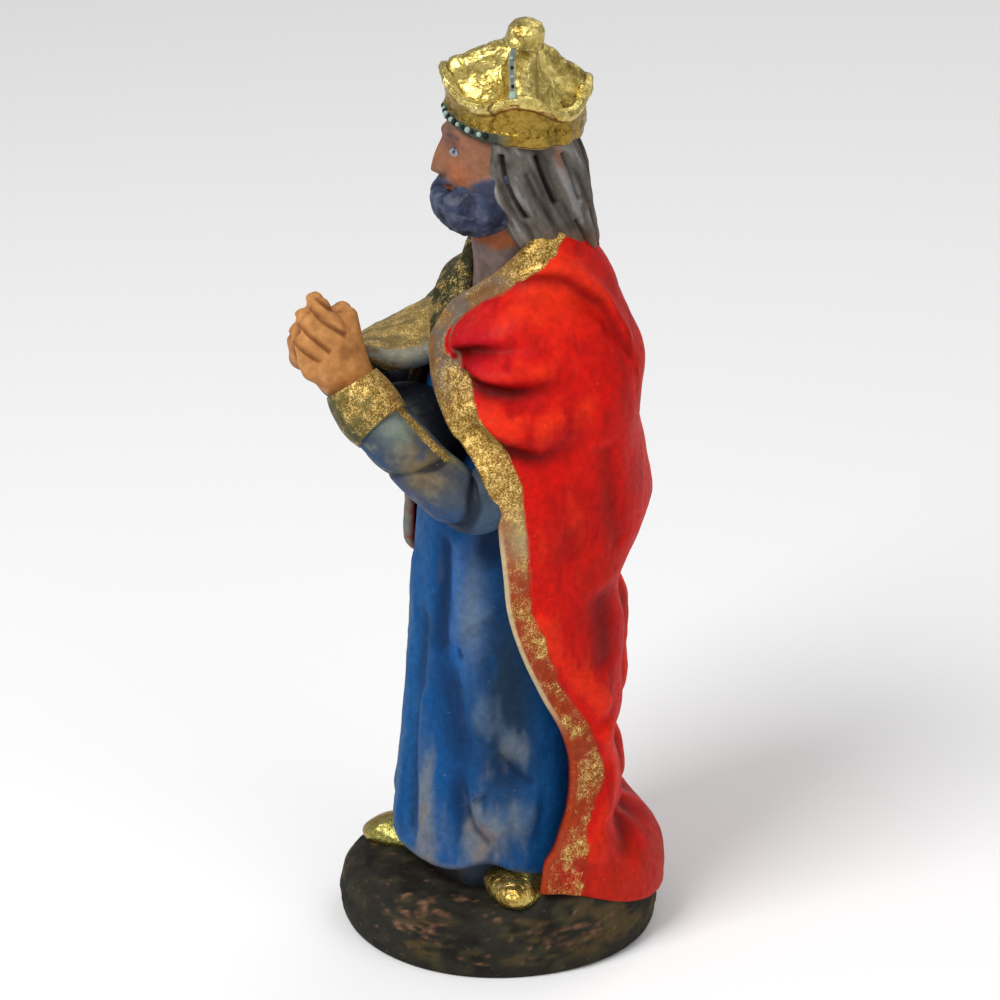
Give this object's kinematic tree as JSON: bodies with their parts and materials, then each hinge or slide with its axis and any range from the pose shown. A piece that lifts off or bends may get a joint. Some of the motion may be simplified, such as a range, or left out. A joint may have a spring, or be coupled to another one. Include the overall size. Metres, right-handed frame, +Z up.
{
  "type": "nativity wise man figurine",
  "caption": "Painted clay nativity figure of a crowned, bearded king praying, in a long robe and a wide cape, standing on its own low round ground.",
  "frame": {"origin": "on the flat underside, under the middle of the round ground", "axes": "+Z up along the figure; the king faces -Y; his left side is +X and his back +Y"},
  "size_m": [0.0608, 0.0727, 0.1804],
  "materials": {
    "painted_clay": "satin",
    "cape_red": "satin",
    "robe_blue": "satin",
    "gold_paint": "satin",
    "skin_paint": "satin",
    "hair_paint": "satin",
    "beard_paint": "satin",
    "sleeve_olive": "satin",
    "ground_paint": "matte"
  },
  "bodies": {
    "root": {"wise_man_figurine": "painted_clay"}
  },
  "joints": []
}
